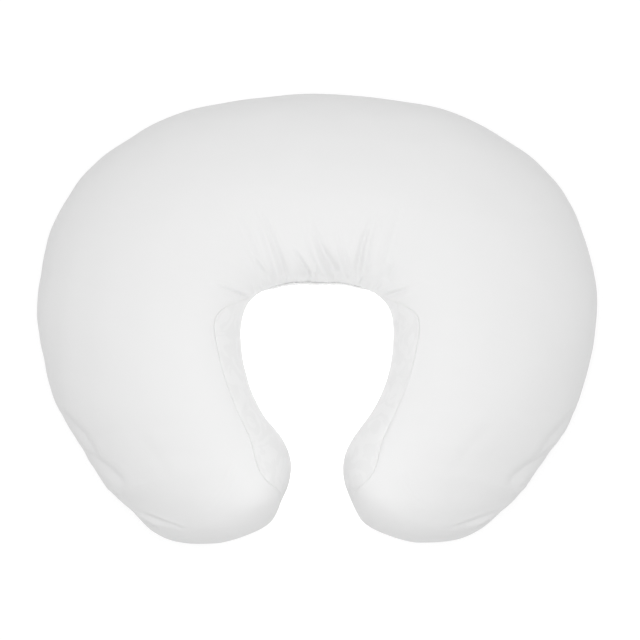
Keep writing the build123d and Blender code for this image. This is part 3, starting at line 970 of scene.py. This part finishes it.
def finish_cad_metal():
    """The zipper's hard parts keep their CAD shape, with rounded edges and enamel."""
    for name in HARD_PARTS:
        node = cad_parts[name]
        node.data.materials.clear()
        node.data.materials.append(ENAMEL)
        bevel = node.modifiers.new("edges", "BEVEL")
        bevel.width = EDGE_ROUND
        bevel.segments = 2
        bevel.limit_method = "ANGLE"
        bevel.angle_limit = EDGE_ANGLE


make_cover()
make_inner_pillow()
make_welt()
make_elastic()
make_hem_stitches()
make_chain()
make_zip_stitches()
make_labels()
finish_cad_metal()


# ------------------------------------------------------------------- stage --
CAMERA_HEIGHT = 2.4      # over the belt
BELT_HEIGHT = 0.066
VIEW_WIDTH = 0.6250      # what the camera takes in, at the belt
CAMERA_X = 0.0030
CAMERA_Y = -0.0005
SENSOR = 36
WORLD_LIGHT = 0.53
KEY_PLACE = (0.0, 0.03, 1.5)
KEY_AIM = (0, 0, 0.05)
KEY_SIZE = 0.8
KEY_POWER = 11.0
FILL_LIGHTS = (          # (name, place, power), for the inner sides of the opening
    ("waist", (0.0, -0.035, 0.21), 0.070),
    ("mouth", (0.0, -0.19, 0.17), 0.030),
)
FILL_RADIUS = 0.03
FLOOR_RINGS = [(0, 0), (5, 0), (5.7, 0.2), (6, 0.7), (6, 3)]  # (radius, height): the rim turns up
FLOOR_SIDES = 64
FLOOR_COLOUR = (0.35, 0.35, 0.35, 1)
GLOW_FROM, GLOW_TO = 0.09, 0.22   # distances from the middle between which the glow falls
GLOW_MIDDLE, GLOW_FAR = 1.4, 0.70


def add_light(name, kind, place, power):
    light = bpy.data.lights.new(name, kind)
    light.energy = power
    lamp = bpy.data.objects.new(name, light)
    lamp.location = place
    bpy.context.scene.collection.objects.link(lamp)
    return lamp


def add_key_light():
    """A large soft lamp overhead."""
    lamp = add_light("key", "AREA", KEY_PLACE, KEY_POWER)
    lamp.data.shape = "DISK"
    lamp.data.size = KEY_SIZE
    lamp.rotation_euler = (Vector(KEY_AIM) - Vector(KEY_PLACE)).to_track_quat("-Z", "Y").to_euler()


def add_fill_lights():
    """Two small lamps over the opening, which the camera doesn't see."""
    for name, place, power in FILL_LIGHTS:
        lamp = add_light(name, "POINT", place, power)
        lamp.data.shadow_soft_size = FILL_RADIUS
        lamp.visible_camera = False


def floor():
    """Glowing floor, brightest in the opening, whose upturned rim hides the horizon."""
    turns = np.linspace(0, 2 * math.pi, FLOOR_SIDES, endpoint=False)
    points = np.array([[(r * math.cos(t), r * math.sin(t), z) for t in turns] for r, z in FLOOR_RINGS])
    faces = grid_faces(*points.shape[:2], wrap=True)
    material, tree, surface = new_material("floor")
    piece = build_mesh("floor", points.reshape(-1, 3) / MM, faces, material, smooth=False)
    surface.inputs["Base Color"].default_value = FLOOR_COLOUR
    surface.inputs["Roughness"].default_value = 1.0
    surface.inputs["Specular IOR Level"].default_value = 0.0
    surface.inputs["Emission Color"].default_value = (1, 1, 1, 1)
    place = add_node(tree, "ShaderNodeTexCoord").outputs["Object"]
    reach = add_node(tree, "ShaderNodeVectorMath", {0: place}, operation="LENGTH").outputs["Value"]
    glow = add_node(tree, "ShaderNodeMapRange", {
        "Value": reach, "From Min": GLOW_FROM, "From Max": GLOW_TO,
        "To Min": GLOW_MIDDLE, "To Max": GLOW_FAR})
    tree.links.new(glow.outputs[0], surface.inputs["Emission Strength"])


def set_world():
    scene = bpy.context.scene
    scene.world = bpy.data.worlds.new("world")
    scene.world.use_nodes = True
    background = scene.world.node_tree.nodes["Background"]
    background.inputs["Color"].default_value = (1, 1, 1, 1)
    background.inputs["Strength"].default_value = WORLD_LIGHT
    scene.view_settings.view_transform = "Standard"


def add_camera():
    """Looks straight down."""
    camera = bpy.data.cameras.new("camera")
    camera.sensor_width = SENSOR
    camera.lens = SENSOR * CAMERA_HEIGHT / VIEW_WIDTH
    lens = bpy.data.objects.new("camera", camera)
    lens.location = (CAMERA_X, CAMERA_Y, CAMERA_HEIGHT + BELT_HEIGHT)
    bpy.context.scene.collection.objects.link(lens)
    bpy.context.scene.camera = lens


floor()
set_world()
add_key_light()
add_fill_lights()
add_camera()
